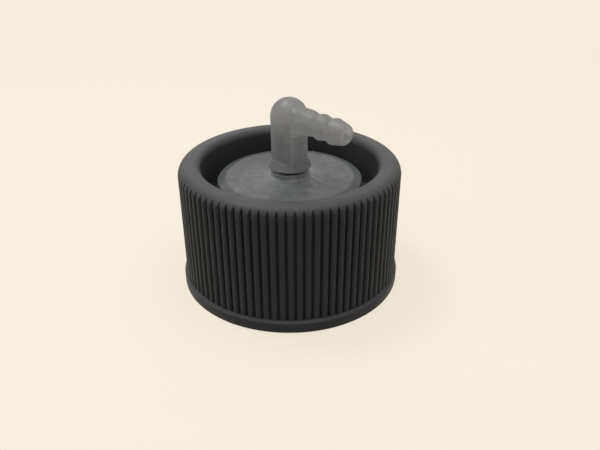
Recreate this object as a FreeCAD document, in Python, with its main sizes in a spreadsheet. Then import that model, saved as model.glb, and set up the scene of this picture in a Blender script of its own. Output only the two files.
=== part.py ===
import FreeCAD, Part
import math
import os

import Sketcher

# Driving sizes in millimetres. The base plane of the cap is z = 0 and its axis is the Z axis.
SIZES = {
    # Coupling nut: ribbed screw ring with a web inside it
    "nut_height": 28.0,
    "thread_root_radius": 19.0,
    "skirt_wall": 4.97,
    "rim_wall": 4.87,
    "rib_height": 0.66,
    "rib_round": 0.76,
    "rib_crest_cut": 0.03,
    "rib_count": 88,
    "band_proud": 0.53,
    "band_height": 2.8,
    "band_shoulder": 0.45,
    "rim_outer_round": 2.2,
    "rim_inner_round": 1.5,
    "recess_depth": 10.2,
    "recess_floor_round": 1.0,
    "web_thickness": 2.4,
    "web_ledge": 3.8,
    "web_hole_lead_in": 0.5,
    "mouth_relief": 0.6,
    "mouth_depth": 4.0,
    "nut_edge_round": 0.4,
    # Valve body: round head above the web, flange below it, probe nose in the middle
    "journal_clearance": 0.1,
    "head_play": 0.1,
    "flange_play": 0.2,
    "head_overhang": 0.62,
    "head_height": 6.35,
    "head_bevel_width": 1.9,
    "head_bevel_drop": 0.5,
    "plate_thickness": 2.35,
    "barrel_wall": 1.8,
    "flange_gap": 1.4,
    "flange_thickness": 2.0,
    "lip_thickness": 1.0,
    "lip_height": 1.0,
    "hub_radius": 6.2,
    "hub_reach": 1.6,
    "nose_step": 1.0,
    "nose_length": 8.4,
    "nose_chamfer": 0.7,
    "ring_drop": 2.6,
    "ring_groove_play": 0.32,
    "orifice_radius": 1.9,
    "seat_drop": 1.8,
    "shelf_width": 0.25,
    "socket_radius": 2.95,
    "socket_depth": 5.95,
    "collar_wall": 1.35,
    "collar_height": 1.5,
    "body_fillet": 0.8,
    "body_edge_round": 0.25,
    # Rubber pieces
    "gasket_thickness": 1.6,
    "gasket_setback": 0.2,
    "gasket_clearance": 0.05,
    "probe_ring_section": 1.78,
    "probe_ring_proud": 0.4,
    "elbow_ring_section": 0.8,
    "ring_clearance": 0.02,
    # Elbow fitting: round foot, square post, domed corner and barbed spigot
    "elbow_rise": 11.01,
    "foot_height": 1.65,
    "foot_radius": 4.65,
    "foot_facet_angle": 30.0,
    "post_width": 5.9,
    "post_corner_cut": 0.43,
    "dome_radius": 3.95,
    "dome_blend": 3.9,
    "dome_facet_angle": 10.0,
    "barb_crest_radius": 2.72,
    "barb_valley_radius": 2.26,
    "barb_root_radius": 3.4,
    "barb_root_reach": 3.9,
    "barb_first_crest": 6.1,
    "barb_pitch": 3.48,
    "barb_fall": 2.05,
    "barb_tip_radius": 1.95,
    "barb_tip_length": 1.14,
    "barb_round": 0.6,
    "hose_bore_radius": 1.15,
    "spigot_clearance": 0.05,
    "spigot_chamfer": 0.35,
    "spigot_wall": 0.8,
    "stem_pocket_clearance": 0.2,
    # Poppet, its seal, spring and guide
    "poppet_travel": 3.0,
    "poppet_head_gap": 0.4,
    "poppet_head_thickness": 1.2,
    "seal_thickness": 0.8,
    "lower_stem_radius": 1.1,
    "lower_stem_recess": 0.4,
    "upper_stem_radius": 1.0,
    "upper_stem_reach": 0.6,
    "stem_chamfer": 0.3,
    "stem_clearance": 0.06,
    "guide_thickness": 1.0,
    "guide_clearance": 0.05,
    "guide_hub_wall": 0.7,
    "guide_rim": 0.5,
    "guide_slot_count": 3,
    "guide_slot_angle": 80.0,
    "spring_wire": 0.4,
    "spring_stem_gap": 0.35,
    "spring_turns": 5.5,
    "spring_gap": 0.02,
}

doc = FreeCAD.newDocument("DryBreakCap")
sheet = doc.addObject("Spreadsheet::Sheet", "Sizes")
for row, (alias, size) in enumerate(SIZES.items(), start=1):
    sheet.set("A%d" % row, alias)
    sheet.set("B%d" % row, str(size))
    sheet.setAlias("B%d" % row, alias)
doc.recompute()

# Heights that follow from the driving sizes, from the web of the nut outwards
WEB_TOP = "(Sizes.nut_height - Sizes.recess_depth)"
WEB_UNDER = f"({WEB_TOP} - Sizes.web_thickness)"
HEAD_UNDER = f"({WEB_TOP} + Sizes.head_play)"
DISC_TOP = f"({HEAD_UNDER} + Sizes.head_height)"
PLATE_UNDER = f"({DISC_TOP} - Sizes.plate_thickness)"
COLLAR_TOP = f"({DISC_TOP} + Sizes.collar_height)"
SHELF = f"({COLLAR_TOP} - Sizes.socket_depth)"
FLANGE_TOP = f"({WEB_UNDER} - Sizes.flange_play)"
FLANGE_UNDER = f"({FLANGE_TOP} - Sizes.flange_thickness)"
LIP_END = f"({FLANGE_UNDER} - Sizes.lip_height)"
HUB_END = f"({FLANGE_UNDER} - Sizes.hub_reach)"
NOSE_TIP = f"({FLANGE_UNDER} - Sizes.nose_length)"
RING_LEVEL = f"({HUB_END} - Sizes.ring_drop)"
SEAT = f"({FLANGE_UNDER} - Sizes.seat_drop)"
SEAL_TOP = f"({SEAT} + Sizes.seal_thickness)"
POPPET_TOP = f"({SEAL_TOP} + Sizes.poppet_head_thickness)"
GUIDE_TOP = f"({SHELF} + Sizes.guide_thickness)"
SPIGOT_END = f"({GUIDE_TOP} + Sizes.guide_clearance)"
STEM_TOP = f"({GUIDE_TOP} + Sizes.upper_stem_reach)"
STEM_TIP = f"({NOSE_TIP} + Sizes.lower_stem_recess)"
STEM_POCKET_TOP = f"({STEM_TOP} + Sizes.poppet_travel + Sizes.stem_pocket_clearance)"
FOOT_UNDER = f"({COLLAR_TOP} + Sizes.elbow_ring_section)"
FOOT_TOP = f"({FOOT_UNDER} + Sizes.foot_height)"
BARB_AXIS = f"({FOOT_UNDER} + Sizes.elbow_rise)"
POST_TOP = f"({BARB_AXIS} - Sizes.dome_blend)"

# Radii that follow from the driving sizes
RIB_OUTER = "(Sizes.thread_root_radius + Sizes.skirt_wall)"
RECESS = f"({RIB_OUTER} - Sizes.rim_wall)"
WEB_HOLE = "(Sizes.thread_root_radius - Sizes.web_ledge)"
MOUTH = "(Sizes.thread_root_radius + Sizes.mouth_relief)"
GROOVE_FLOOR = f"({RIB_OUTER} - Sizes.rib_height)"
RIB_CENTRE = f"({RIB_OUTER} + Sizes.rib_crest_cut - Sizes.rib_round)"
BAND = f"({RIB_OUTER} + Sizes.band_proud)"
JOURNAL = f"({WEB_HOLE} - Sizes.journal_clearance)"
HEAD = f"({JOURNAL} + Sizes.head_overhang)"
BARREL_INNER = f"({JOURNAL} - Sizes.barrel_wall)"
LIP_OUTER = f"({BARREL_INNER} + Sizes.lip_thickness)"
FLANGE = "(Sizes.thread_root_radius - Sizes.flange_gap)"
NOSE = "(Sizes.hub_radius - Sizes.nose_step)"
RING_FLOOR = f"({NOSE} + Sizes.probe_ring_proud - Sizes.probe_ring_section)"
CHAMBER = "(Sizes.socket_radius - Sizes.shelf_width)"
COLLAR = "(Sizes.socket_radius + Sizes.collar_wall)"
SPIGOT = "(Sizes.socket_radius - Sizes.spigot_clearance)"
POPPET_HEAD = f"({CHAMBER} - Sizes.poppet_head_gap)"

# Reach of the barb along X, and the rounds that their walls limit
BARB_END = "(Sizes.barb_first_crest + 2 * Sizes.barb_pitch + Sizes.barb_fall + Sizes.barb_tip_length)"
RIM_OUTER_ROUND = "min(Sizes.rim_outer_round; 0.55 * Sizes.rim_wall)"
RIM_INNER_ROUND = "min(Sizes.rim_inner_round; 0.4 * Sizes.rim_wall)"
RECESS_FLOOR_ROUND = f"min(Sizes.recess_floor_round; 0.4 * ({RECESS} - {WEB_HOLE}))"

parts = {}


def value(expression):
    """The present value of an expression of the sheet's sizes."""
    return float(sheet.evalExpression(expression))


def new_body(label):
    body = doc.addObject("PartDesign::Body", label)
    body.Label = label
    parts[label] = body
    return body


def origin_feature(body, role):
    return next(item for item in body.Origin.OriginFeatures if item.Role == role)


def new_sketch(body, name, role, height=None):
    """A sketch on one of the body's origin planes. height moves it up the Z axis."""
    sketch = body.newObject("Sketcher::SketchObject", name)
    sketch.AttachmentSupport = [(origin_feature(body, role), "")]
    sketch.MapMode = "FlatFace"
    if height:
        along = "z" if role == "XY_Plane" else "y"
        sketch.setExpression("AttachmentOffset.Base." + along, height)
    return sketch


def bind(sketch, kind, places, expression):
    """A dimension of the sketch that follows an expression."""
    number = sketch.addConstraint(Sketcher.Constraint(kind, *places, value(expression)))
    sketch.setExpression("Constraints[%d]" % number, expression)


def join(sketch, geometry, point, other, other_point):
    places = (geometry, point, other, other_point)
    sketch.addConstraint(Sketcher.Constraint("Coincident", *places))


def pin_point(sketch, geometry, point, x, y):
    """Holds a point of the sketch at two expressions. A zero puts it on the axis."""
    for kind, axis, expression in (("DistanceX", -2, x), ("DistanceY", -1, y)):
        if expression == "0":
            sketch.addConstraint(Sketcher.Constraint("PointOnObject", geometry, point, axis))
        else:
            bind(sketch, kind, (-1, 1, geometry, point), expression)


def draw_outline(sketch, corners):
    """A closed outline of straight lines with its corners at pairs of expressions."""
    places = []
    for x, y in corners:
        places.append(FreeCAD.Vector(value(x), value(y), 0))
    lines = []
    for number, start in enumerate(places):
        end = places[(number + 1) % len(places)]
        lines.append(sketch.addGeometry(Part.LineSegment(start, end), False))
    for number, line in enumerate(lines):
        join(sketch, line, 2, lines[(number + 1) % len(lines)], 1)
    for line, (x, y) in zip(lines, corners):
        pin_point(sketch, line, 1, x, y)


def draw_circle(sketch, x, y, radius):
    centre = FreeCAD.Vector(value(x), value(y), 0)
    up = FreeCAD.Vector(0, 0, 1)
    circle = sketch.addGeometry(Part.Circle(centre, up, value(radius)), False)
    pin_point(sketch, circle, 3, x, y)
    bind(sketch, "Radius", (circle,), radius)


def revolve(body, name, sketch, axis="V_Axis", kind="PartDesign::Revolution"):
    feature = body.newObject(kind, name)
    feature.Profile = sketch
    feature.ReferenceAxis = (sketch, [axis])
    feature.Angle = 360.0
    doc.recompute()
    return feature


def extrude(body, name, sketch, length, kind="PartDesign::Pad", downward=False):
    """A pad or a pocket of the given length that runs up, or down where asked."""
    feature = body.newObject(kind, name)
    feature.Profile = sketch
    feature.setExpression("Length", length)
    feature.Reversed = downward != (kind == "PartDesign::Pocket")
    doc.recompute()
    return feature


def ring_edges(feature, places, along):
    """The names of the circular edges at pairs of radius and station along the axis."""
    names = []
    for number, edge in enumerate(feature.Shape.Edges, start=1):
        if edge.Degenerated or not isinstance(edge.Curve, Part.Circle):
            continue
        station = getattr(edge.Curve.Center, along)
        for radius, where in places:
            same_radius = abs(edge.Curve.Radius - value(radius)) < 0.001
            if same_radius and abs(station - value(where)) < 0.001:
                names.append("Edge%d" % number)
    return names


def dress(body, name, size, places, kind="PartDesign::Fillet", along="z"):
    """Rounds, or chamfers, the body's circular edges at the given places."""
    base = body.Tip
    feature = body.newObject(kind, name)
    feature.Base = (base, ring_edges(base, places, along))
    feature.setExpression("Radius" if kind == "PartDesign::Fillet" else "Size", size)
    doc.recompute()
    return feature


def repeat_round_axis(body, name, feature, count):
    pattern = body.newObject("PartDesign::PolarPattern", name)
    pattern.Originals = [feature]
    pattern.Axis = (origin_feature(body, "Z_Axis"), [""])
    pattern.Angle = 360.0
    pattern.setExpression("Occurrences", count)
    body.Tip = pattern
    doc.recompute()
    return pattern


def turned(label, corners):
    """A piece of revolution about the Z axis from its half section."""
    body = new_body(label)
    sketch = new_sketch(body, label + "_section", "XZ_Plane")
    draw_outline(sketch, corners)
    revolve(body, label + "_turned", sketch)
    return body


def o_ring(label, mean_radius, section, level):
    """A rubber ring of round section about the Z axis, a little slack in its seat."""
    ring = doc.addObject("Part::Torus", label)
    ring.Label = label
    ring.setExpression("Radius1", mean_radius)
    ring.setExpression("Radius2", f"{section} / 2 - Sizes.ring_clearance")
    ring.setExpression("Placement.Base.z", level)
    parts[label] = ring
    doc.recompute()
    return ring


def draw_ring_sector(sketch, inner, outer, half_angle):
    """A curved slot about the origin, centred on the X axis, between two radii."""
    arcs = []
    for radius in (inner, outer):
        places = []
        for turn in (f"0 deg - {half_angle}", "0 deg", half_angle):
            x = value(f"{radius} * cos({turn})")
            y = value(f"{radius} * sin({turn})")
            places.append(FreeCAD.Vector(x, y, 0))
        arc = sketch.addGeometry(Part.Arc(*places), False)
        join(sketch, arc, 3, -1, 1)
        bind(sketch, "Radius", (arc,), radius)
        bind(sketch, "DistanceY", (-1, 1, arc, 2), f"{radius} * sin({half_angle})")
        bind(sketch, "DistanceY", (arc, 1, -1, 1), f"{radius} * sin({half_angle})")
        arcs.append(arc)
    for end in (1, 2):
        line = Part.LineSegment(sketch.getPoint(arcs[0], end), sketch.getPoint(arcs[1], end))
        side = sketch.addGeometry(line, False)
        join(sketch, side, 1, arcs[0], end)
        join(sketch, side, 2, arcs[1], end)


def rib_valley_arc(sketch, side):
    """One flank of the valley between two ribs: an arc of the round rib beside it.

    It runs from the valley's floor to a point just above the rib's flat crest.
    """
    half_pitch = "(180 deg / Sizes.rib_count)"
    centre_x = f"{RIB_CENTRE} * cos({half_pitch})"
    centre_y = f"{side} * {RIB_CENTRE} * sin({half_pitch})"
    crest = "(Sizes.rib_round - Sizes.rib_crest_cut / 2)"
    beside_crest = f"sqrt(Sizes.rib_round ^ 2 - {crest} ^ 2)"
    end_x = f"({RIB_CENTRE} + {crest}) * cos({half_pitch}) + {beside_crest} * sin({half_pitch})"
    centre = FreeCAD.Vector(value(centre_x), value(centre_y), 0)
    radius = value("Sizes.rib_round")
    ends = []
    for x in (value(GROOVE_FLOOR), value(end_x)):
        rise = math.sqrt(radius ** 2 - (x - centre.x) ** 2)
        ends.append(FreeCAD.Vector(x, centre.y - side * rise, 0))
    # The arc's own halfway point, on the side of the rib that faces the valley
    middle = (ends[0] + ends[1]) / 2 - centre
    middle = centre + middle.normalize() * radius
    arc = sketch.addGeometry(Part.Arc(ends[0], middle, ends[1]), False)
    pin_point(sketch, arc, 3, centre_x, centre_y)
    bind(sketch, "Radius", (arc,), "Sizes.rib_round")
    points = (1, 2) if sketch.getPoint(arc, 1).x < sketch.getPoint(arc, 2).x else (2, 1)
    bind(sketch, "DistanceX", (-1, 1, arc, points[0]), GROOVE_FLOOR)
    bind(sketch, "DistanceX", (-1, 1, arc, points[1]), end_x)
    return arc, points


def draw_rib_valley(sketch):
    """The section of one valley, centred on the X axis and drawn past the ribs' crests."""
    right, right_points = rib_valley_arc(sketch, -1)
    left, left_points = rib_valley_arc(sketch, 1)
    outside = value(f"{RIB_OUTER} + Sizes.rib_height")
    floor_ends = [sketch.getPoint(right, right_points[0]), sketch.getPoint(left, left_points[0])]
    low = sketch.getPoint(right, right_points[1])
    high = sketch.getPoint(left, left_points[1])
    low_out = FreeCAD.Vector(outside, low.y, 0)
    high_out = FreeCAD.Vector(outside, high.y, 0)
    floor = sketch.addGeometry(Part.LineSegment(*floor_ends), False)
    low_side = sketch.addGeometry(Part.LineSegment(low, low_out), False)
    mouth = sketch.addGeometry(Part.LineSegment(low_out, high_out), False)
    high_side = sketch.addGeometry(Part.LineSegment(high_out, high), False)
    join(sketch, floor, 1, right, right_points[0])
    join(sketch, floor, 2, left, left_points[0])
    join(sketch, low_side, 1, right, right_points[1])
    join(sketch, low_side, 2, mouth, 1)
    join(sketch, mouth, 2, high_side, 1)
    join(sketch, high_side, 2, left, left_points[1])
    sketch.addConstraint(Sketcher.Constraint("Horizontal", low_side))
    sketch.addConstraint(Sketcher.Constraint("Horizontal", high_side))
    sketch.addConstraint(Sketcher.Constraint("Vertical", mouth))
    bind(sketch, "DistanceX", (-1, 1, mouth, 1), f"{RIB_OUTER} + Sizes.rib_height")


def make_coupling_nut():
    """Ribbed screw ring: smooth band at the base, rounded rim, recess, web and skirt bore."""
    body = turned("coupling_nut", [
        (MOUTH, "0"),
        (BAND, "0"),
        (BAND, "Sizes.band_height - Sizes.band_shoulder"),
        (RIB_OUTER, "Sizes.band_height"),
        (RIB_OUTER, "Sizes.nut_height"),
        (RECESS, "Sizes.nut_height"),
        (RECESS, WEB_TOP),
        (WEB_HOLE, WEB_TOP),
        (WEB_HOLE, WEB_UNDER),
        ("Sizes.thread_root_radius", WEB_UNDER),
        ("Sizes.thread_root_radius", "Sizes.mouth_depth"),
        (MOUTH, "Sizes.mouth_depth"),
    ])
    dress(body, "rim_outer", RIM_OUTER_ROUND, [(RIB_OUTER, "Sizes.nut_height")])
    dress(body, "rim_inner", RIM_INNER_ROUND, [(RECESS, "Sizes.nut_height")])
    dress(body, "recess_floor", RECESS_FLOOR_ROUND, [(RECESS, WEB_TOP)])
    dress(body, "base_edge", "Sizes.nut_edge_round", [(BAND, "0")])
    dress(body, "mouth_lead_in", "Sizes.nut_edge_round", [(MOUTH, "0")],
          "PartDesign::Chamfer")
    dress(body, "web_lead_in", "Sizes.web_hole_lead_in", [(WEB_HOLE, WEB_UNDER)],
          "PartDesign::Chamfer")
    valley_sketch = new_sketch(body, "rib_valley_section", "XY_Plane", "Sizes.band_height")
    draw_rib_valley(valley_sketch)
    valley = extrude(body, "rib_valley", valley_sketch, "Sizes.nut_height", "PartDesign::Pocket")
    repeat_round_axis(body, "rib_valleys", valley, "Sizes.rib_count")


def make_valve_body():
    """Cored moulding that snaps up through the web: head, journal, flange, hub and probe nose."""
    groove_half = "(Sizes.probe_ring_section + Sizes.ring_groove_play) / 2"
    ring_low = f"({RING_LEVEL} - {groove_half})"
    ring_high = f"({RING_LEVEL} + {groove_half})"
    body = turned("valve_body", [
        ("Sizes.orifice_radius", NOSE_TIP),
        (NOSE, NOSE_TIP),
        (NOSE, ring_low),
        (RING_FLOOR, ring_low),
        (RING_FLOOR, ring_high),
        (NOSE, ring_high),
        (NOSE, HUB_END),
        ("Sizes.hub_radius", HUB_END),
        ("Sizes.hub_radius", PLATE_UNDER),
        (BARREL_INNER, PLATE_UNDER),
        (BARREL_INNER, LIP_END),
        (LIP_OUTER, LIP_END),
        (LIP_OUTER, FLANGE_UNDER),
        (FLANGE, FLANGE_UNDER),
        (FLANGE, FLANGE_TOP),
        (JOURNAL, FLANGE_TOP),
        (JOURNAL, HEAD_UNDER),
        (HEAD, HEAD_UNDER),
        (HEAD, f"{DISC_TOP} - Sizes.head_bevel_drop"),
        (f"{HEAD} - Sizes.head_bevel_width", DISC_TOP),
        (COLLAR, DISC_TOP),
        (COLLAR, COLLAR_TOP),
        ("Sizes.socket_radius", COLLAR_TOP),
        ("Sizes.socket_radius", SHELF),
        (CHAMBER, SHELF),
        (CHAMBER, SEAT),
        ("Sizes.orifice_radius", SEAT),
    ])
    dress(body, "nose_lead_in", "Sizes.nose_chamfer", [(NOSE, NOSE_TIP)],
          "PartDesign::Chamfer")
    dress(body, "inner_roots", "Sizes.body_fillet", [
        ("Sizes.hub_radius", PLATE_UNDER),
        (BARREL_INNER, PLATE_UNDER),
        (COLLAR, DISC_TOP),
    ])
    dress(body, "outer_edges", "Sizes.body_edge_round", [
        (HEAD, f"{DISC_TOP} - Sizes.head_bevel_drop"),
        (COLLAR, COLLAR_TOP),
        (FLANGE, FLANGE_TOP),
        (FLANGE, FLANGE_UNDER),
        ("Sizes.hub_radius", HUB_END),
    ])


def make_rubber():
    """The neck gasket round the body's lip, the probe's ring and the ring under the elbow."""
    gasket_inner = f"({LIP_OUTER} + Sizes.gasket_clearance)"
    gasket_outer = f"({FLANGE} - Sizes.gasket_setback)"
    gasket_under = f"({FLANGE_UNDER} - Sizes.gasket_thickness)"
    turned("neck_gasket", [
        (gasket_inner, gasket_under),
        (gasket_outer, gasket_under),
        (gasket_outer, FLANGE_UNDER),
        (gasket_inner, FLANGE_UNDER),
    ])
    o_ring("probe_o_ring", f"{RING_FLOOR} + Sizes.probe_ring_section / 2",
           "Sizes.probe_ring_section", RING_LEVEL)
    o_ring("elbow_o_ring", f"{SPIGOT} + Sizes.elbow_ring_section / 2",
           "Sizes.elbow_ring_section", f"{COLLAR_TOP} + Sizes.elbow_ring_section / 2")
    # The washer sits on the flat seat and is held by the poppet's head
    seal_inner = "(Sizes.lower_stem_radius + Sizes.ring_clearance)"
    turned("poppet_seal", [
        (seal_inner, SEAT),
        (POPPET_HEAD, SEAT),
        (POPPET_HEAD, SEAL_TOP),
        (seal_inner, SEAL_TOP),
    ])


def draw_cut_square(sketch, width, cut):
    """A square about the origin whose corners are cut flat, each side shortened by cut."""
    half = f"({width} / 2)"
    short = f"({half} - {cut})"
    draw_outline(sketch, [
        (half, f"-{short}"),
        (half, short),
        (short, half),
        (f"-{short}", half),
        (f"-{half}", short),
        (f"-{half}", f"-{short}"),
        (f"-{short}", f"-{half}"),
        (short, f"-{half}"),
    ])


def draw_faceted_circle(sketch, radius, facet_angle):
    """A circle about the origin in eight arcs, the short ones on the diagonals.

    A short arc spans facet_angle. It ends where a flat corner of the post comes out.
    """
    turns = []
    for diagonal in (45, 135, 225, 315):
        turns.append((diagonal, -1))
        turns.append((diagonal, 1))
    places = []
    for diagonal, side in turns:
        turn = math.radians(diagonal + side * value(facet_angle) / 2)
        place = FreeCAD.Vector(math.cos(turn), math.sin(turn), 0)
        places.append(place * value(radius))
    arcs = []
    for number, start in enumerate(places):
        end = places[(number + 1) % len(places)]
        middle = (start + end).normalize() * value(radius)
        arcs.append(sketch.addGeometry(Part.Arc(start, middle, end), False))
    for number, arc in enumerate(arcs):
        join(sketch, arc, 2, arcs[(number + 1) % len(arcs)], 1)
    for arc in arcs[:-1]:
        join(sketch, arc, 3, -1, 1)
    bind(sketch, "Radius", (arcs[0],), radius)
    sketch.addConstraint(Sketcher.Constraint("Equal", arcs[-1], arcs[0]))
    for arc, place, (diagonal, side) in zip(arcs, places, turns):
        turn = f"({diagonal} deg + {side} * {facet_angle} / 2 * 1 deg)"
        upright = abs(place.x) > abs(place.y)
        kind = "DistanceY" if upright else "DistanceX"
        share = f"sin{turn}" if upright else f"cos{turn}"
        ahead = (place.y if upright else place.x) > 0
        ends = (-1, 1, arc, 1) if ahead else (arc, 1, -1, 1)
        bind(sketch, kind, ends, f"{radius} * abs({share})")


def barb_corners():
    """Outer line of the barbed spigot: a tapered root and three ridges that fall to the tip."""
    corners = [
        ("0", "Sizes.barb_root_radius"),
        ("Sizes.barb_root_reach", "Sizes.barb_crest_radius"),
    ]
    for ridge in range(3):
        crest = f"Sizes.barb_first_crest + {ridge} * Sizes.barb_pitch"
        corners.append((crest, "Sizes.barb_crest_radius"))
        corners.append((f"{crest} + Sizes.barb_fall", "Sizes.barb_valley_radius"))
    corners.append((BARB_END, "Sizes.barb_tip_radius"))
    return corners


def draw_dome(sketch):
    """Half the section of the dome: a quarter disc on the right of the vertical axis."""
    radius = value("Sizes.dome_radius")
    centre = FreeCAD.Vector(0, 0, 0)
    side = FreeCAD.Vector(radius, 0, 0)
    high = FreeCAD.Vector(0, radius, 0)
    middle = (side + high).normalize() * radius
    arc = sketch.addGeometry(Part.Arc(side, middle, high), False)
    upright = sketch.addGeometry(Part.LineSegment(high, centre), False)
    level = sketch.addGeometry(Part.LineSegment(centre, side), False)
    join(sketch, arc, 2, upright, 1)
    join(sketch, upright, 2, level, 1)
    join(sketch, level, 2, arc, 1)
    join(sketch, upright, 2, -1, 1)
    join(sketch, arc, 3, -1, 1)
    sketch.addConstraint(Sketcher.Constraint("PointOnObject", upright, 1, -2))
    sketch.addConstraint(Sketcher.Constraint("PointOnObject", level, 2, -1))
    bind(sketch, "Radius", (arc,), "Sizes.dome_radius")


def loft(body, name, lower, upper):
    """Ruled faces between two sections that have the same number of sides."""
    feature = body.newObject("PartDesign::AdditiveLoft", name)
    feature.Profile = lower
    feature.Sections = [upper]
    feature.Ruled = True
    doc.recompute()
    return feature


def make_elbow_fitting():
    """Moulded elbow: barbed spigot along +X, domed corner, square post, round foot, spigot."""
    body = new_body("elbow_fitting")
    barb_sketch = new_sketch(body, "barb_section", "XZ_Plane", BARB_AXIS)
    draw_outline(barb_sketch, [("0", "0")] + barb_corners() + [(BARB_END, "0")])
    revolve(body, "barb", barb_sketch, "H_Axis")
    ridges = [(radius, reach) for reach, radius in barb_corners()[1:]]
    dress(body, "soft_ridges", "Sizes.barb_round", ridges, along="x")
    dome_sketch = new_sketch(body, "dome_section", "XZ_Plane", BARB_AXIS)
    draw_dome(dome_sketch)
    revolve(body, "dome", dome_sketch)
    post_sketch = new_sketch(body, "post_section", "XY_Plane", FOOT_TOP)
    draw_cut_square(post_sketch, "Sizes.post_width", "Sizes.post_corner_cut")
    extrude(body, "post", post_sketch, f"{POST_TOP} - {FOOT_TOP}")
    top_sketch = new_sketch(body, "post_top_section", "XY_Plane", POST_TOP)
    draw_cut_square(top_sketch, "Sizes.post_width", "Sizes.post_corner_cut")
    equator_sketch = new_sketch(body, "dome_equator", "XY_Plane", BARB_AXIS)
    draw_faceted_circle(equator_sketch, "Sizes.dome_radius", "Sizes.dome_facet_angle")
    loft(body, "square_to_round", top_sketch, equator_sketch)
    foot_sketch = new_sketch(body, "foot_section", "XY_Plane", FOOT_UNDER)
    draw_faceted_circle(foot_sketch, "Sizes.foot_radius", "Sizes.foot_facet_angle")
    loft(body, "foot", foot_sketch, post_sketch)
    spigot_sketch = new_sketch(body, "spigot_section", "XY_Plane", FOOT_UNDER)
    draw_circle(spigot_sketch, "0", "0", SPIGOT)
    extrude(body, "spigot", spigot_sketch, f"{FOOT_UNDER} - {SPIGOT_END}", downward=True)
    dress(body, "spigot_lead_in", "Sizes.spigot_chamfer", [(SPIGOT, SPIGOT_END)],
          "PartDesign::Chamfer")
    pocket = f"({SPIGOT} - Sizes.spigot_wall)"
    bore_sketch = new_sketch(body, "post_bore_section", "XZ_Plane")
    draw_outline(bore_sketch, [
        ("0", SPIGOT_END),
        (pocket, SPIGOT_END),
        (pocket, STEM_POCKET_TOP),
        ("Sizes.hose_bore_radius", STEM_POCKET_TOP),
        ("Sizes.hose_bore_radius", BARB_AXIS),
        ("0", BARB_AXIS),
    ])
    revolve(body, "post_bore", bore_sketch, kind="PartDesign::Groove")
    hose_sketch = new_sketch(body, "hose_bore_section", "XZ_Plane", BARB_AXIS)
    draw_outline(hose_sketch, [
        ("0", "0"),
        ("0", "Sizes.hose_bore_radius"),
        (BARB_END, "Sizes.hose_bore_radius"),
        (BARB_END, "0"),
    ])
    revolve(body, "hose_bore", hose_sketch, "H_Axis", "PartDesign::Groove")


def make_poppet():
    """Turned plunger: lower stem in the orifice, head over the seal, upper stem in the guide."""
    tip_flat = "Sizes.lower_stem_radius - Sizes.stem_chamfer"
    top_flat = "Sizes.upper_stem_radius - Sizes.stem_chamfer"
    turned("poppet", [
        ("0", STEM_TIP),
        (tip_flat, STEM_TIP),
        ("Sizes.lower_stem_radius", f"{STEM_TIP} + Sizes.stem_chamfer"),
        ("Sizes.lower_stem_radius", SEAL_TOP),
        (POPPET_HEAD, SEAL_TOP),
        (POPPET_HEAD, POPPET_TOP),
        ("Sizes.upper_stem_radius", POPPET_TOP),
        ("Sizes.upper_stem_radius", f"{STEM_TOP} - Sizes.stem_chamfer"),
        (top_flat, STEM_TOP),
        ("0", STEM_TOP),
    ])


def make_spring_guide():
    """Slotted disc on the shelf of the socket, held down by the elbow's spigot."""
    outer = "(Sizes.socket_radius - Sizes.guide_clearance)"
    bore = "(Sizes.upper_stem_radius + Sizes.stem_clearance)"
    body = turned("spring_guide", [
        (bore, SHELF),
        (outer, SHELF),
        (outer, GUIDE_TOP),
        (bore, GUIDE_TOP),
    ])
    slot_sketch = new_sketch(body, "slot_section", "XY_Plane", SHELF)
    draw_ring_sector(slot_sketch, f"({bore} + Sizes.guide_hub_wall)",
                     f"({outer} - Sizes.guide_rim)", "Sizes.guide_slot_angle * 0.5 deg")
    slot = extrude(body, "slot", slot_sketch, "Sizes.guide_thickness", "PartDesign::Pocket")
    repeat_round_axis(body, "slots", slot, "Sizes.guide_slot_count")


def make_poppet_spring():
    """Compression spring between the poppet's head and the guide, with ground ends."""
    body = new_body("poppet_spring")
    low = f"({POPPET_TOP} + Sizes.spring_gap)"
    high = f"({SHELF} - Sizes.spring_gap)"
    mean = "(Sizes.upper_stem_radius + Sizes.spring_stem_gap + Sizes.spring_wire / 2)"
    wire_sketch = new_sketch(body, "wire_section", "XZ_Plane")
    draw_circle(wire_sketch, mean, low, "Sizes.spring_wire / 2")
    coil = body.newObject("PartDesign::AdditiveHelix", "coil")
    coil.Profile = wire_sketch
    coil.ReferenceAxis = (wire_sketch, ["V_Axis"])
    coil.Mode = "height-turns-angle"
    coil.setExpression("Height", f"{high} - {low}")
    coil.setExpression("Turns", "Sizes.spring_turns")
    doc.recompute()
    for name, start, away in (("low_end", low, "-"), ("high_end", high, "+")):
        sketch = new_sketch(body, name + "_section", "XZ_Plane")
        inner = f"({mean} - Sizes.spring_wire)"
        outer = f"({mean} + Sizes.spring_wire)"
        beyond = f"{start} {away} Sizes.spring_wire"
        draw_outline(sketch, [(inner, start), (outer, start), (outer, beyond), (inner, beyond)])
        revolve(body, name + "_ground", sketch, kind="PartDesign::Groove")


def check_document():
    """Stops with a plain message where a feature failed or a piece isn't one sound solid."""
    for item in doc.Objects:
        empty = item.isDerivedFrom("PartDesign::Feature") and item.Shape.isNull()
        if empty or "Invalid" in item.State or "Error" in item.State:
            raise RuntimeError("failed feature: " + item.Label)
    for label, piece in parts.items():
        shape = piece.Shape
        if shape.isNull() or not shape.isValid():
            raise RuntimeError("bad shape: " + label)
        if len(shape.Solids) != 1:
            raise RuntimeError("not one solid: " + label)


make_coupling_nut()
make_valve_body()
make_rubber()
make_elbow_fitting()
make_poppet()
make_spring_guide()
make_poppet_spring()
doc.recompute()
check_document()

os.makedirs("parts", exist_ok=True)
for label, piece in parts.items():
    piece.Shape.exportStep("parts/%s.step" % label)
    print(label, "volume %.1f mm3, faces %d" % (piece.Shape.Volume, len(piece.Shape.Faces)))
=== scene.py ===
import math

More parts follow.
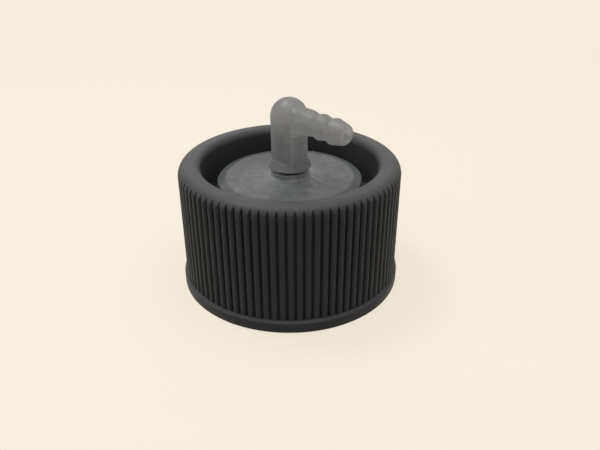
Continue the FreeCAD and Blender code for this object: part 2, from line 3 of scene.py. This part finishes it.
import bpy
from mathutils import Matrix, Vector


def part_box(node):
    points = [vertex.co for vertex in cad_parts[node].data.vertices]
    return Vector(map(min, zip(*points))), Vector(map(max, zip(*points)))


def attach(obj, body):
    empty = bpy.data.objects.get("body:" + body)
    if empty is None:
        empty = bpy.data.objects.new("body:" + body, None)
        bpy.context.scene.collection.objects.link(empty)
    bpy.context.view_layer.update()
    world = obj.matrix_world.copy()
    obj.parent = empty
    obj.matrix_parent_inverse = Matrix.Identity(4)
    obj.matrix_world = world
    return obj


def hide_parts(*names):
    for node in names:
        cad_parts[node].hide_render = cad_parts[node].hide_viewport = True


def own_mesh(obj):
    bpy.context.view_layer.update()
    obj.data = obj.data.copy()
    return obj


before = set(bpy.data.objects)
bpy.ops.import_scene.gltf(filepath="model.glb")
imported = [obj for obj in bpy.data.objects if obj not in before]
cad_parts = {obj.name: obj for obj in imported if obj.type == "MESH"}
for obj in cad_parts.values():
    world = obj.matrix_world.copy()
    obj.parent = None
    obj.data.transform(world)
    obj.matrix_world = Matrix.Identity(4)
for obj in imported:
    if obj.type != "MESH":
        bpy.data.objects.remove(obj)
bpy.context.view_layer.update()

# Lengths in millimetres become metres here
MM = 0.001

# The photograph's camera, seen from the axis of the cap
IMAGE_WIDTH = 600
FOCAL_PIXELS = 621.7
SENSOR_WIDTH = 36.0
VIEW_AZIMUTH = math.radians(46.0)
VIEW_ELEVATION = math.radians(28.84)
VIEW_DISTANCE = 147.4 * MM
VIEW_RIGHT = 2.19 * MM
VIEW_UP = 10.22 * MM
VIEW_ROLL = math.radians(-0.19)
CLIP_START = 5 * MM
CLIP_END = 20000 * MM

# The photograph's background as a linear colour, and the grey that lights the cap in its place
BACKDROP = (0.930, 0.855, 0.738)
SURROUND_LEVEL = 0.15

# The floor: its grey for the cap, its own light and lit share beside it, and where they change
FLOOR_HALF_WIDTH = 4000 * MM
FLOOR_LEVEL = 0.06
FLOOR_OWN_LIGHT = 0.80
FLOOR_LIT_SHARE = 0.15
FLOOR_FADE_START = 50 * MM
FLOOR_FADE_END = 400 * MM

# The lamps' white, and each one's name, azimuth from the camera, elevation, distance, size, power
LAMP_COLOUR = (0.97, 1.0, 1.04)
LAMPS = (
    ("overhead_softbox", 0, 88, 0.6, 0.7, 4.3),
    ("small_softbox", -120, 67, 0.5, 0.12, 0.8),
    ("left_softbox", -80, 20, 0.8, 0.4, 0.9),
    ("right_softbox", 80, 20, 0.8, 0.4, 0.6),
    ("back_softbox", 180, 35, 0.9, 0.7, 1.0),
)

# Grip ribs of the nut, below the rim's rounding; their grooves get painted shade
RIB_ROOT_RADIUS = 23.31 * MM
RIB_CREST_RADIUS = 23.97 * MM
RIB_MARGIN = 0.2 * MM
RIB_TOP = 25.0 * MM

# The recess, up to where the nut's plastic is darkened with painted shade, and where it has its
# full colour again
RECESS_RADIUS = 19.3 * MM
RECESS_EDGE = 20.6 * MM

# The disc's bevel, which carries painted shade, its swirled marks, the painted light round the
# foot, and the fine weld line beside it
BEVEL_START = 13.7 * MM
BEVEL_END = 14.2 * MM
SWIRL_ACROSS = 160.0
SWIRL_ROUND = 0.9
FOOT_LIGHT_RADIUS = 11.0 * MM
WELD_LINE_START = (0.93 * MM, 3.41 * MM)
WELD_LINE_END = (9.05 * MM, 2.24 * MM)
WELD_LINE_WIDTH = 0.25 * MM

# The elbow's foot and post, how much of its light comes through from behind, and where the painted
# shade on the foot and at the post's corners falls
CLEAR_SHARE = 0.66
FOOT_TOP = 28.2 * MM
FOOT_FADE = 0.5 * MM
CORNER_WIDTH = 0.5 * MM
POST_TOP = 33.0 * MM

# The elbow's barb and the hose bore, which opens in the barb's tip, and where painted light falls
# under the barb and on the bore's wall
BARB_START = 3.0 * MM
BARB_AXIS = 37.56 * MM
BARB_LOWEST = 34.86 * MM
BORE_RADIUS = 1.15 * MM
BORE_EDGE = 1.4 * MM

# Neck thread inside the skirt
THREAD_ROOT_RADIUS = 19.0 * MM
THREAD_CREST_RADIUS = 17.9 * MM
THREAD_PITCH = 4.23 * MM
THREAD_TURNS = 1.6
THREAD_START = 5.6 * MM
THREAD_ROOT_HALF = 1.05 * MM
THREAD_CREST_HALF = 0.4 * MM
THREAD_STEPS_A_TURN = 96
THREAD_RUN_IN = 0.12
THREAD_LEAST_SHARE = 0.02
THREAD_BEVEL = 0.18 * MM
THREAD_BEVEL_SEGMENTS = 3

# The poppet's spring
SPRING_WIRE = 0.4 * MM
SPRING_TURNS = 5.5
SPRING_STEPS_A_TURN = 48
SPRING_SIDES = 12


def new_material(name):
    material = bpy.data.materials.new(name)
    material.use_nodes = True
    nodes = material.node_tree.nodes
    nodes.clear()
    shader = nodes.new("ShaderNodeBsdfPrincipled")
    output = nodes.new("ShaderNodeOutputMaterial")
    link(material, shader.outputs["BSDF"], output.inputs["Surface"])
    return material, shader


def link(holder, source, target):
    holder.node_tree.links.new(source, target)


def fill(holder, socket, given):
    """Links the socket where another socket is given, and sets its value otherwise."""
    if isinstance(given, bpy.types.NodeSocket):
        link(holder, given, socket)
    else:
        socket.default_value = given


def add_node(holder, kind, **inputs):
    """A node with its inputs filled. Their names have _ for each space."""
    node = holder.node_tree.nodes.new(kind)
    for name, given in inputs.items():
        fill(holder, node.inputs[name.replace("_", " ")], given)
    return node


def set_inputs(shader, **values):
    """Sets the shader's own sockets. Their names have _ for each space."""
    for name, given in values.items():
        shader.inputs[name.replace("_", " ")].default_value = given


def place(material):
    """The point's own coordinates on the object, in metres."""
    return add_node(material, "ShaderNodeTexCoord").outputs["Object"]


def coordinates(material):
    """The same coordinates as three separate numbers: x, y and height."""
    point = add_node(material, "ShaderNodeSeparateXYZ", Vector=place(material))
    return point.outputs["X"], point.outputs["Y"], point.outputs["Z"]


def grey(level, tint=(1, 1, 1)):
    return tuple(level * part for part in tint)


def ramp(material, factor, stops):
    """A colour ramp from (position, colour) stops."""
    node = add_node(material, "ShaderNodeValToRGB", Fac=factor)
    elements = node.color_ramp.elements
    elements[0].position, elements[0].color = stops[0][0], (*stops[0][1], 1)
    elements[1].position, elements[1].color = stops[-1][0], (*stops[-1][1], 1)
    for position, colour in stops[1:-1]:
        elements.new(position).color = (*colour, 1)
    return node.outputs["Color"]


def noise(material, scale, detail=3.0, roughness=0.5, distortion=0.0, vector=None):
    node = add_node(material, "ShaderNodeTexNoise", Vector=vector or place(material),
                    Scale=scale, Detail=detail, Roughness=roughness, Distortion=distortion)
    return node.outputs["Fac"]


def add_bump(material, shader, height, depth, strength):
    bump = add_node(material, "ShaderNodeBump", Height=height, Distance=depth, Strength=strength)
    link(material, bump.outputs["Normal"], shader.inputs["Normal"])


def scaled_range(material, factor, low, high):
    """The factor, from zero to one, brought to the range from low to high."""
    node = add_node(material, "ShaderNodeMapRange", Value=factor, To_Min=low, To_Max=high)
    return node.outputs["Result"]


def share_between(material, value, start, end):
    """Zero where the value is at start or before it, and one where it is at end or past it."""
    node = add_node(material, "ShaderNodeMapRange", Value=value, From_Min=start, From_Max=end)
    return node.outputs["Result"]


def math_node(holder, operation, first, second=0.0):
    node = holder.node_tree.nodes.new("ShaderNodeMath")
    node.operation = operation
    for socket, given in zip(node.inputs, (first, second)):
        fill(holder, socket, given)
    return node.outputs["Value"]


def multiplied(material, first, second):
    """The product of two colours."""
    node = material.node_tree.nodes.new("ShaderNodeVectorMath")
    node.operation = "MULTIPLY"
    link(material, first, node.inputs[0])
    link(material, second, node.inputs[1])
    return node.outputs["Vector"]


def mixed_colours(holder, share, first, second):
    """The first colour where share is 0 and the second where it is 1."""
    node = holder.node_tree.nodes.new("ShaderNodeMix")
    node.data_type = "RGBA"
    link(holder, share, node.inputs[0])
    for socket, given in ((node.inputs[6], first), (node.inputs[7], second)):
        fill(holder, socket, (*given, 1) if isinstance(given, tuple) else given)
    return node.outputs[2]


def let_light_through(material, shader, colour, share):
    """Mixes in a share of light that comes through the plastic from behind."""
    through = add_node(material, "ShaderNodeBsdfTranslucent", Color=colour)
    mix = material.node_tree.nodes.new("ShaderNodeMixShader")
    mix.inputs["Fac"].default_value = share
    output = shader.outputs["BSDF"].links[0].to_socket
    link(material, shader.outputs["BSDF"], mix.inputs[1])
    link(material, through.outputs["BSDF"], mix.inputs[2])
    link(material, mix.outputs["Shader"], output)


def diagonal(material, first, second):
    """The distance that two offsets at right angles to each other come to."""
    return math_node(material, "SQRT", math_node(
        material, "ADD", math_node(material, "MULTIPLY", first, first),
        math_node(material, "MULTIPLY", second, second)))


def rib_share(material, radius, height):
    """How high a point stands on a grip rib, from 0 in a groove to 1 on a crest and elsewhere."""
    rise = share_between(material, radius, RIB_ROOT_RADIUS, RIB_CREST_RADIUS)
    inside = math_node(material, "LESS_THAN", radius, RIB_ROOT_RADIUS - RIB_MARGIN)
    above = math_node(material, "GREATER_THAN", height, RIB_TOP)
    return math_node(material, "MAXIMUM", math_node(material, "MAXIMUM", rise, inside), above)


def moulded_dark_plastic():
    """Charcoal polypropylene with the fine grain of a spark eroded mould, and painted shade in the
    rib grooves and the recess.
    """
    material, shader = new_material("moulded_dark_plastic")
    tone = noise(material, scale=90.0, detail=4.0, roughness=0.6)
    colour = ramp(material, tone, [(0.3, grey(0.043, (0.99, 1.01, 1.03))), (0.7, grey(0.052))])
    x, y, height = coordinates(material)
    radius = diagonal(material, x, y)
    # Painted shade: the rib grooves are darkened for the shade that falls in them
    groove_shade = ramp(material, rib_share(material, radius, height),
                  [(0.0, grey(0.62)), (0.5, grey(0.60)), (0.8, grey(0.80)), (1.0, grey(1.0))])
    # Painted shade: the plastic in the recess is darkened for the shade that falls there
    recess_shade = ramp(material, share_between(material, radius, RECESS_RADIUS, RECESS_EDGE),
                   [(0.0, grey(0.78)), (1.0, grey(1.0))])
    for factor in (groove_shade, recess_shade):
        colour = multiplied(material, colour, factor)
    link(material, colour, shader.inputs["Base Color"])
    link(material, scaled_range(material, noise(material, scale=350.0), 0.46, 0.56),
         shader.inputs["Roughness"])
    set_inputs(shader, IOR=1.5, Specular_IOR_Level=0.15)
    add_bump(material, shader, noise(material, scale=3200.0, detail=4.0, roughness=0.6),
             depth=0.03 * MM, strength=0.6)
    return material


def off_corner(material, x, y, height):
    """How far a point of the post lies from its corners, as a share of their width."""
    lean = math_node(material, "SUBTRACT", math_node(material, "ABSOLUTE", x),
                     math_node(material, "ABSOLUTE", y))
    offset = math_node(material, "DIVIDE", math_node(material, "ABSOLUTE", lean), CORNER_WIDTH)
    above = math_node(material, "GREATER_THAN", height, POST_TOP)
    return math_node(material, "MAXIMUM", offset, above)


def painted_light_in_bore(material, x, y, height):
    """One on the wall of the hose bore and zero elsewhere on the elbow: where the bore's wall gets
    painted light.
    """
    from_axis = diagonal(material, y, math_node(material, "SUBTRACT", height, BARB_AXIS))
    inside = share_between(material, from_axis, BORE_EDGE, BORE_RADIUS)
    return math_node(material, "MULTIPLY", inside,
                     math_node(material, "GREATER_THAN", x, BARB_START))


def painted_light_under_barb(material, x, height):
    """From zero at the barb's axis to one at its lowest line, and zero on the post and foot: where
    painted light falls under the barb.
    """
    depth = share_between(material, height, BARB_AXIS, BARB_LOWEST)
    outside = math_node(material, "GREATER_THAN", x, BARB_START)
    above = math_node(material, "GREATER_THAN", height, POST_TOP)
    return math_node(material, "MULTIPLY", depth,
                     math_node(material, "MULTIPLY", outside, above))


def translucent_plastic():
    """Natural polypropylene of the elbow, with painted tones: paler low down and darker at the top
    for the light, painted shade on the foot and at the post's corners, and painted light under the
    barb and in the bore.
    """
    material, shader = new_material("natural_elbow_plastic")
    x, y, height = coordinates(material)
    low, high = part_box("elbow_fitting")
    clouds = noise(material, scale=220.0, detail=5.0, roughness=0.6, distortion=1.2)
    rise = math_node(material, "ADD", share_between(material, height, low.z, high.z),
                     scaled_range(material, clouds, -0.06, 0.06))
    cool, warm = (0.98, 1.0, 1.0), (1.0, 0.98, 0.93)
    # Painted light and shade by height: paler at the foot and post to lift their shade, darker on
    # the dome and barb to offset the overhead light
    colour = ramp(material, rise, [(0.30, grey(0.22, cool)), (0.38, grey(0.14, cool)),
                                   (0.45, grey(0.12, cool)), (0.65, grey(0.10, cool)),
                                   (0.80, grey(0.04, warm)), (1.00, grey(0.04, warm))])
    clear = ramp(material, rise, [(0.60, (0.598, 0.620, 0.630)), (0.75, (0.612, 0.614, 0.616))])
    # Painted shade along the post's corners, for the dark lines that the facets give
    corner = ramp(material, off_corner(material, x, y, height),
                  [(0.4, grey(0.84)), (1.0, grey(1.0))])
    # Painted shade on the foot, in the base colour and in the light through the plastic
    in_foot = share_between(material, height, FOOT_TOP, FOOT_TOP - FOOT_FADE)
    shade = ramp(material, in_foot, [(0.0, grey(1.0)), (1.0, grey(0.85, cool))])
    clear = multiplied(material, multiplied(material, clear, corner), shade)
    let_light_through(material, shader, clear, CLEAR_SHARE)
    colour = multiplied(material, colour, shade)
    # Painted light: the barb's underside is made paler for light that comes through the plastic
    colour = mixed_colours(material, painted_light_under_barb(material, x, height), colour, grey(0.8))
    # Painted light: the bore's wall is made paler for light that comes through the plastic
    colour = mixed_colours(material, painted_light_in_bore(material, x, y, height), colour, grey(0.5))
    link(material, colour, shader.inputs["Base Color"])
    set_inputs(shader, Subsurface_Weight=1.0, Subsurface_Radius=(1.0, 1.0, 0.92),
               Subsurface_Scale=4.0 * MM, IOR=1.49, Specular_IOR_Level=1.0)
    patches = ramp(material, noise(material, scale=700.0, detail=4.0, roughness=0.6),
                   [(0.38, grey(0.20)), (0.62, grey(0.46))])
    link(material, patches, shader.inputs["Roughness"])
    add_bump(material, shader, noise(material, scale=800.0, detail=4.0, roughness=0.6),
             depth=0.30 * MM, strength=1.0)
    return material


def weld_line(material, x, y):
    """How far a point of the disc lies from the weld line, as a share of the line's width."""
    (start_x, start_y), (end_x, end_y) = WELD_LINE_START, WELD_LINE_END
    length = math.hypot(end_x - start_x, end_y - start_y)
    cosine, sine = (end_x - start_x) / length, (end_y - start_y) / length
    from_x = math_node(material, "SUBTRACT", x, start_x)
    from_y = math_node(material, "SUBTRACT", y, start_y)
    along = math_node(material, "ADD", math_node(material, "MULTIPLY", from_x, cosine),
                      math_node(material, "MULTIPLY", from_y, sine))
    across = math_node(material, "SUBTRACT", math_node(material, "MULTIPLY", from_y, cosine),
                       math_node(material, "MULTIPLY", from_x, sine))
    past_middle = math_node(material, "ABSOLUTE",
                            math_node(material, "SUBTRACT", along, length / 2))
    past_end = math_node(material, "MAXIMUM",
                         math_node(material, "SUBTRACT", past_middle, length / 2), 0.0)
    offset = math_node(material, "ADD", math_node(material, "ABSOLUTE", across), past_end)
    return math_node(material, "DIVIDE", offset, WELD_LINE_WIDTH)


def disc_plastic():
    """The valve body's plastic, with the swirled flow marks that its gate leaves on the disc,
    painted shade on its bevel and painted light round the foot.
    """
    material, shader = new_material("natural_disc_plastic")
    x, y, _ = coordinates(material)
    radius = diagonal(material, x, y)
    angle = math_node(material, "ARCTAN2", y, x)
    swirl = add_node(material, "ShaderNodeCombineXYZ",
                     X=math_node(material, "MULTIPLY", radius, SWIRL_ACROSS),
                     Y=math_node(material, "MULTIPLY", angle, SWIRL_ROUND)).outputs["Vector"]
    bands = noise(material, scale=1.6, detail=6.0, roughness=0.62, distortion=2.2, vector=swirl)
    clouds = noise(material, scale=95.0, detail=6.0, roughness=0.6, distortion=2.6)
    marks = math_node(material, "MULTIPLY", math_node(material, "ADD", bands, clouds), 0.5)
    colour = ramp(material, marks, [(0.38, grey(0.380, (0.96, 1.0, 0.99))),
                                    (0.50, grey(0.540, (0.98, 1.0, 0.98))),
                                    (0.62, grey(0.780, (1.0, 1.0, 0.97)))])
    # Painted shade on the bevel band, which is darker and slightly bluer
    bevel_shade = ramp(material, share_between(material, radius, BEVEL_START, BEVEL_END),
                [(0.0, grey(1.0)), (1.0, grey(0.72, (0.93, 1.0, 1.03)))])
    beside_line = weld_line(material, x, y)
    line = ramp(material, beside_line, [(0.3, grey(1.0)), (1.0, grey(0.60))])
    # Painted light: the disc is paler round the foot, to offset the shade that the elbow casts
    # there
    painted_light_round_foot = ramp(material, math_node(material, "DIVIDE", radius, FOOT_LIGHT_RADIUS),
                 [(0.40, grey(1.0)), (0.43, grey(0.47)), (0.55, grey(0.335)),
                  (0.75, grey(0.276)), (1.00, grey(0.24))])
    for factor in (bevel_shade, line, painted_light_round_foot):
        colour = multiplied(material, colour, factor)
    link(material, colour, shader.inputs["Base Color"])
    link(material, scaled_range(material, beside_line, 0.0, 1.0),
         shader.inputs["Subsurface Weight"])
    set_inputs(shader, Subsurface_Radius=(1.0, 1.0, 0.9), Subsurface_Scale=1.5 * MM, IOR=1.49,
               Specular_IOR_Level=0.2)
    link(material, scaled_range(material, bands, 0.34, 0.5), shader.inputs["Roughness"])
    add_bump(material, shader, marks, depth=0.35 * MM, strength=0.35)
    return material


def black_rubber():
    """Moulded nitrile rubber with a slight bloom."""
    material, shader = new_material("black_rubber")
    colour = ramp(material, noise(material, scale=500.0, detail=4.0),
                  [(0.35, grey(0.012)), (0.7, grey(0.022))])
    link(material, colour, shader.inputs["Base Color"])
    link(material, scaled_range(material, noise(material, scale=700.0), 0.5, 0.65),
         shader.inputs["Roughness"])
    add_bump(material, shader, noise(material, scale=4000.0), depth=0.02 * MM, strength=0.5)
    return material


def white_plastic():
    """Natural acetal, turned smooth."""
    material, shader = new_material("natural_acetal")
    cream = (1, 1, 0.97)
    colour = ramp(material, noise(material, scale=300.0, detail=4.0),
                  [(0.3, grey(0.62, cream)), (0.7, grey(0.72, cream))])
    link(material, colour, shader.inputs["Base Color"])
    set_inputs(shader, Subsurface_Weight=0.2, Subsurface_Scale=0.8 * MM)
    link(material, scaled_range(material, noise(material, scale=900.0), 0.32, 0.42),
         shader.inputs["Roughness"])
    add_bump(material, shader, noise(material, scale=2500.0), depth=0.01 * MM, strength=0.5)
    return material


def spring_wire():
    """Stainless spring wire with fine draw lines."""
    material, shader = new_material("spring_wire")
    colour = ramp(material, noise(material, scale=1200.0), [(0.3, grey(0.52)), (0.7, grey(0.64))])
    link(material, colour, shader.inputs["Base Color"])
    set_inputs(shader, Metallic=1.0)
    link(material, scaled_range(material, noise(material, scale=2500.0), 0.22, 0.36),
         shader.inputs["Roughness"])
    add_bump(material, shader, noise(material, scale=6000.0, detail=2.0), depth=0.005 * MM,
             strength=0.5)
    return material


def dress_node(name, material):
    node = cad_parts[name]
    node.data.materials.clear()
    node.data.materials.append(material)


def dress_nodes(dark):
    dress_node("coupling_nut", dark)
    dress_node("valve_body", disc_plastic())
    dress_node("elbow_fitting", translucent_plastic())
    rubber = black_rubber()
    for name in ("neck_gasket", "probe_o_ring", "elbow_o_ring", "poppet_seal"):
        dress_node(name, rubber)
    acetal = white_plastic()
    for name in ("poppet", "spring_guide"):
        dress_node(name, acetal)


def new_object(name, data):
    thing = bpy.data.objects.new(name, data)
    bpy.context.scene.collection.objects.link(thing)
    return thing


def swept_piece(name, rings, material):
    """A closed solid through rings of points, each the same way round, on the scene."""
    corners = len(rings[0])
    vertices = [point for ring in rings for point in ring]
    faces = []
    for step in range(len(rings) - 1):
        first, after = step * corners, (step + 1) * corners
        for corner in range(corners):
            beside = (corner + 1) % corners
            faces.append((first + corner, first + beside, after + beside, after + corner))
    last = (len(rings) - 1) * corners
    faces.append(tuple(reversed(range(corners))))
    faces.append(tuple(last + corner for corner in range(corners)))
    mesh = bpy.data.meshes.new(name)
    mesh.from_pydata(vertices, [], faces)
    mesh.validate()
    mesh.materials.append(material)
    for polygon in mesh.polygons:
        polygon.use_smooth = True
    return new_object(name, mesh)


def round_axis(radius, angle, height):
    """The point at this radius and angle round the cap's axis."""
    return radius * math.cos(angle), radius * math.sin(angle), height


def thread_profile(share):
    """How much of the ridge's height stands at this share of its length."""
    return max(THREAD_LEAST_SHARE, min(1.0, share / THREAD_RUN_IN, (1 - share) / THREAD_RUN_IN))


def make_neck_thread(material):
    """The skirt's inside thread: a right handed ridge that runs in and out smoothly."""
    steps = int(THREAD_TURNS * THREAD_STEPS_A_TURN)
    depth = THREAD_ROOT_RADIUS - THREAD_CREST_RADIUS
    rings = []
    for step in range(steps + 1):
        share = step / steps
        angle = share * THREAD_TURNS * math.tau
        level = THREAD_START + share * THREAD_TURNS * THREAD_PITCH
        crest = THREAD_ROOT_RADIUS - depth * thread_profile(share)
        section = [(THREAD_ROOT_RADIUS, -THREAD_ROOT_HALF), (crest, -THREAD_CREST_HALF),
                   (crest, THREAD_CREST_HALF), (THREAD_ROOT_RADIUS, THREAD_ROOT_HALF)]
        rings.append([round_axis(radius, angle, level + rise) for radius, rise in section])
    thread = swept_piece("neck_thread", rings, material)
    soften = thread.modifiers.new("soft_edges", "BEVEL")
    soften.width = THREAD_BEVEL
    soften.segments = THREAD_BEVEL_SEGMENTS
    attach(thread, "nut")


def make_poppet_spring(material):
    """A right handed coil with flat ends."""
    low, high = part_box("poppet_spring")
    length = high.z - low.z
    wire_radius = SPRING_WIRE / 2
    mean_radius = high.x - wire_radius
    steps = int(SPRING_TURNS * SPRING_STEPS_A_TURN)
    rings = []
    for step in range(steps + 1):
        share = step / steps
        angle = share * SPRING_TURNS * math.tau
        ring = []
        for side in range(SPRING_SIDES):
            turn = -side / SPRING_SIDES * math.tau
            radius = mean_radius + wire_radius * math.cos(turn)
            height = low.z + share * length + wire_radius * math.sin(turn)
            ring.append(round_axis(radius, angle, min(max(height, low.z), high.z)))
        rings.append(ring)
    spring = swept_piece("poppet_spring_coil", rings, material)
    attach(spring, "hose_side")
    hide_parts("poppet_spring")
    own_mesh(spring)


def direction(turn, rise):
    """The way out from the cap's axis at this azimuth and elevation, in radians."""
    return Vector((math.sin(turn) * math.cos(rise), -math.cos(turn) * math.cos(rise),
                   math.sin(rise)))


def make_camera():
    """The photograph's camera."""
    right = Vector((math.cos(VIEW_AZIMUTH), math.sin(VIEW_AZIMUTH), 0))
    back = direction(VIEW_AZIMUTH, VIEW_ELEVATION)
    up = back.cross(right)
    data = bpy.data.cameras.new("camera")
    data.sensor_width = SENSOR_WIDTH
    data.lens = FOCAL_PIXELS / IMAGE_WIDTH * SENSOR_WIDTH
    data.clip_start = CLIP_START
    data.clip_end = CLIP_END
    camera = new_object("camera", data)
    turn = Matrix((right, up, back)).transposed().to_4x4()
    roll = Matrix.Rotation(VIEW_ROLL, 4, "Z")
    spot = back * VIEW_DISTANCE + right * VIEW_RIGHT + up * VIEW_UP
    camera.matrix_world = Matrix.Translation(spot) @ turn @ roll
    bpy.context.scene.camera = camera


def colour_by_ray(holder, lit_with, seen):
    """The colour seen where a camera, gloss or clear ray arrives, and lit_with for the rest."""
    rays = add_node(holder, "ShaderNodeLightPath")
    direct = math_node(holder, "MAXIMUM", rays.outputs["Is Camera Ray"],
                       rays.outputs["Is Glossy Ray"])
    direct = math_node(holder, "MAXIMUM", direct, rays.outputs["Is Transmission Ray"])
    return mixed_colours(holder, direct, lit_with, seen)


def make_floor():
    """A wide pale floor that takes the cap's soft shadow and ends up as the plain background."""
    half = FLOOR_HALF_WIDTH
    mesh = bpy.data.meshes.new("floor")
    mesh.from_pydata([(-half, -half, 0), (half, -half, 0), (half, half, 0), (-half, half, 0)],
                     [], [(0, 1, 2, 3)])
    floor = new_object("floor", mesh)
    material, shader = new_material("floor_card")
    x, y, _ = coordinates(material)
    far = share_between(material, diagonal(material, x, y), FLOOR_FADE_START, FLOOR_FADE_END)
    lit = ramp(material, far, [(0.0, tuple(FLOOR_LIT_SHARE * part for part in BACKDROP)),
                               (1.0, grey(0.0))])
    link(material, colour_by_ray(material, grey(FLOOR_LEVEL), lit), shader.inputs["Base Color"])
    link(material, colour_by_ray(material, grey(0.0), BACKDROP), shader.inputs["Emission Color"])
    link(material, scaled_range(material, far, FLOOR_OWN_LIGHT, 1.0),
         shader.inputs["Emission Strength"])
    set_inputs(shader, Roughness=1.0, Specular_IOR_Level=0.0)
    mesh.materials.append(material)


def make_world():
    """The plain background, which lights the cap as a dim grey."""
    world = bpy.data.worlds.new("studio")
    bpy.context.scene.world = world
    world.use_nodes = True
    background = world.node_tree.nodes["Background"]
    link(world, colour_by_ray(world, grey(SURROUND_LEVEL), BACKDROP), background.inputs["Color"])
    background.inputs["Strength"].default_value = 1.0


def make_softbox(name, azimuth, elevation, distance, size, power):
    """A square lamp that faces the cap."""
    data = bpy.data.lights.new(name, "AREA")
    data.size = size
    data.energy = power
    data.color = LAMP_COLOUR
    lamp = new_object(name, data)
    way = direction(VIEW_AZIMUTH + math.radians(azimuth), math.radians(elevation))
    lamp.location = way * distance
    lamp.rotation_euler = way.to_track_quat("Z", "Y").to_euler()


dark = moulded_dark_plastic()
dress_nodes(dark)
make_neck_thread(dark)
make_poppet_spring(spring_wire())
make_camera()
make_floor()
make_world()
for lamp in LAMPS:
    make_softbox(*lamp)

bpy.context.scene.view_settings.view_transform = "Standard"
